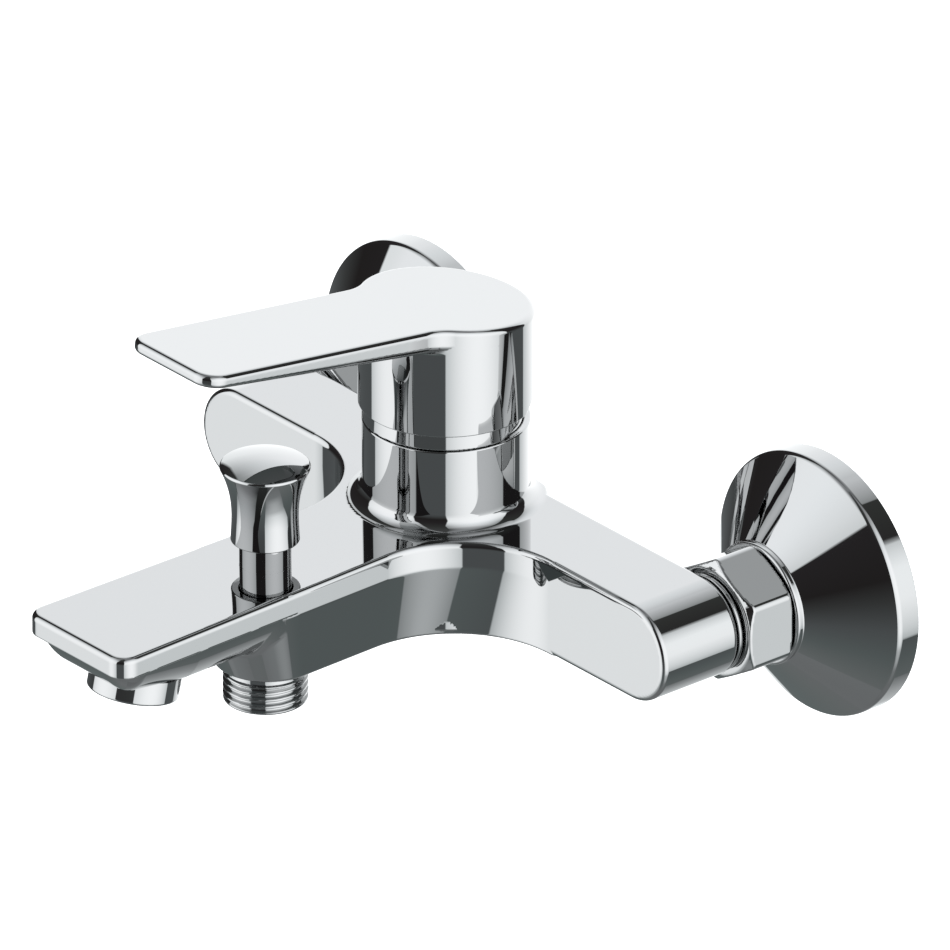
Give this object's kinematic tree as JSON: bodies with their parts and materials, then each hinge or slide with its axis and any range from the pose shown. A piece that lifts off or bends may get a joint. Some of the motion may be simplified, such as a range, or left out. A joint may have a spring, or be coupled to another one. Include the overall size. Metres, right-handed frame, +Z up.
{
  "type": "wall mounted bath faucet",
  "caption": "Wall mounted single lever bath mixer in polished chrome, with a flat spout, a pull-up diverter, a threaded shower outlet and conical wall plates.",
  "frame": {"origin": "on the wall plane, midway between the two inlet axes", "axes": "+X along the wall towards the cold inlet, +Y into the wall, +Z up; the spout points to -Y"},
  "size_m": [0.2176, 0.191, 0.1114],
  "materials": {
    "chrome": "mirror polished chrome plate",
    "brass": "machined brass",
    "steel": "plain stainless steel",
    "ceramic": null,
    "plastic": "moulded acetal",
    "dark_plastic": "moulded plug",
    "rubber": "EPDM seal"
  },
  "bodies": {
    "mixer_body": {"body_casting": "chrome", "dome_cover": "chrome", "diverter_sleeve": "chrome", "shower_outlet": "chrome", "aerator_housing": "chrome", "cartridge_retaining_nut": "chrome", "left_escutcheon": "chrome", "left_union_nut": "chrome", "left_eccentric_union": "chrome", "left_inlet_bush": "chrome", "left_union_washer": "rubber", "right_escutcheon": "chrome", "right_union_nut": "chrome", "right_eccentric_union": "chrome", "right_inlet_bush": "chrome", "right_union_washer": "rubber", "diverter_seat_ring": "brass", "diverter_spring": "steel", "check_valve_spring": "steel", "fixed_ceramic_disc": "ceramic", "cartridge_base": "plastic", "cartridge_housing": "plastic", "check_valve_cage": "plastic", "aerator_insert": "plastic", "hot_port_seal": "rubber", "cold_port_seal": "rubber", "mixed_port_seal": "rubber", "diverter_rod_seal": "rubber", "aerator_washer": "rubber"},
    "cartridge_turn": {"cartridge_rotor": "plastic", "lever_pivot_pin": "steel"},
    "lever": {"handle": "chrome", "handle_grub_screw": "steel", "grub_screw_cap": "dark_plastic", "lever_stem": "brass"},
    "mixing_discs": {"moving_ceramic_disc": "ceramic", "disc_carrier": "plastic"},
    "diverter": {"diverter_knob": "chrome", "diverter_rod": "brass", "diverter_lower_seal": "rubber", "diverter_upper_seal": "rubber"},
    "check_poppet": {"check_valve_poppet": "plastic"}
  },
  "joints": [
    {"name": "temperature_turn", "type": "hinge", "parent": "mixer_body", "child": "cartridge_turn", "pos_m": [0, -0.0583, 0.0343], "axis": [0, 0, 1], "range_deg": [-50, 50]},
    {"name": "lever_lift", "type": "hinge", "parent": "cartridge_turn", "child": "lever", "pos_m": [0, -0.0583, 0.0343], "axis": [-1, 0, 0], "range_deg": [0, 25]},
    {"name": "disc_slide", "type": "slide", "parent": "cartridge_turn", "child": "mixing_discs", "axis": [0, -1, 0], "range_m": [0, 0.0054]},
    {"name": "diverter_pull", "type": "slide", "parent": "mixer_body", "child": "diverter", "axis": [0, 0, 1], "range_m": [0, 0.008], "stiffness_N_per_m": 120, "springref_m": -0.005, "deforming": ["diverter_spring"]},
    {"name": "check_valve_open", "type": "slide", "parent": "mixer_body", "child": "check_poppet", "axis": [0, 0, -1], "range_m": [0, 0.0025], "stiffness_N_per_m": 60, "springref_m": -0.002, "deforming": ["check_valve_spring"]}
  ],
  "couplings": [
    {"joint": "disc_slide", "follows": "lever_lift", "m_per_rad": 0.0121}
  ]
}
